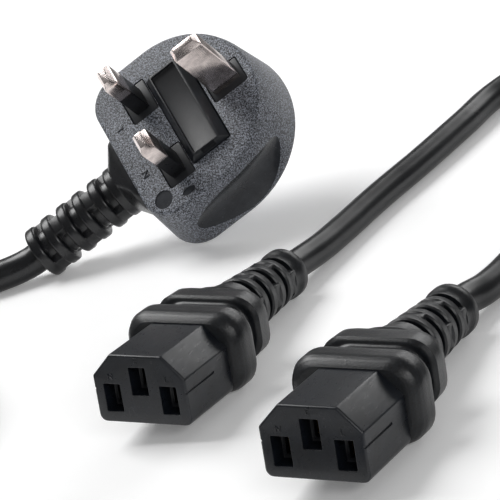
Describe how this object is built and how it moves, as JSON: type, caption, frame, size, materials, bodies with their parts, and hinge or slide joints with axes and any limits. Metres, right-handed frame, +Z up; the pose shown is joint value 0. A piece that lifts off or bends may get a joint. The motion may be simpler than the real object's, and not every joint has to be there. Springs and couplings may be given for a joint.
{
  "type": "power cord splitter",
  "caption": "Y-shaped mains cord that feeds two appliance connectors from one fused three-pin plug through a moulded junction.",
  "frame": {"origin": "floor under the middle of the box round the plug, the two connectors and the junction", "axes": "+Y the way the connectors' cords leave, -Y the connectors' fronts, +Z up, +X to the right seen from the fronts"},
  "size_m": [0.2837, 0.261, 0.0562],
  "materials": {
    "black_moulding": "fine spark-eroded texture",
    "slate_plastic": "smooth, semi-gloss",
    "pin_sleeve": "smooth, semi-gloss",
    "plated_pin": "bright nickel plate over brass",
    "contact_brass": "bright rolled strip",
    "fuse_ceramic": "glazed white ceramic",
    "cord_sheath": "smooth satin sheath",
    "tie_strap": "ribbed strap"
  },
  "bodies": {
    "cord_set": {"plug_body": "black_moulding", "pin_bridge": "slate_plastic", "earth_pin": "plated_pin", "live_pin": "plated_pin", "neutral_pin": "plated_pin", "live_sleeve": "pin_sleeve", "neutral_sleeve": "pin_sleeve", "fuse_clip_live_side": "contact_brass", "fuse_clip_neutral_side": "contact_brass", "connector_a_body": "black_moulding", "connector_a_insert": "slate_plastic", "connector_a_neutral_contact": "contact_brass", "connector_a_earth_contact": "contact_brass", "connector_a_live_contact": "contact_brass", "connector_b_body": "black_moulding", "connector_b_insert": "slate_plastic", "connector_b_neutral_contact": "contact_brass", "connector_b_earth_contact": "contact_brass", "connector_b_live_contact": "contact_brass", "junction_body": "black_moulding", "trunk_cord": "cord_sheath", "trunk_coil": "cord_sheath", "coil_tie": "tie_strap", "trunk_tail": "cord_sheath", "leg_a_cord": "cord_sheath", "leg_b_cord": "cord_sheath"},
    "fuse_drawer": {"fuse_carrier": "slate_plastic", "fuse_tube": "fuse_ceramic", "fuse_cap_live_side": "contact_brass", "fuse_cap_neutral_side": "contact_brass"}
  },
  "joints": [
    {"name": "fuse_drawer_slide", "type": "slide", "parent": "cord_set", "child": "fuse_drawer", "axis": [0.0807, -0.7026, 0.707], "range_m": [0, 0.014]}
  ]
}
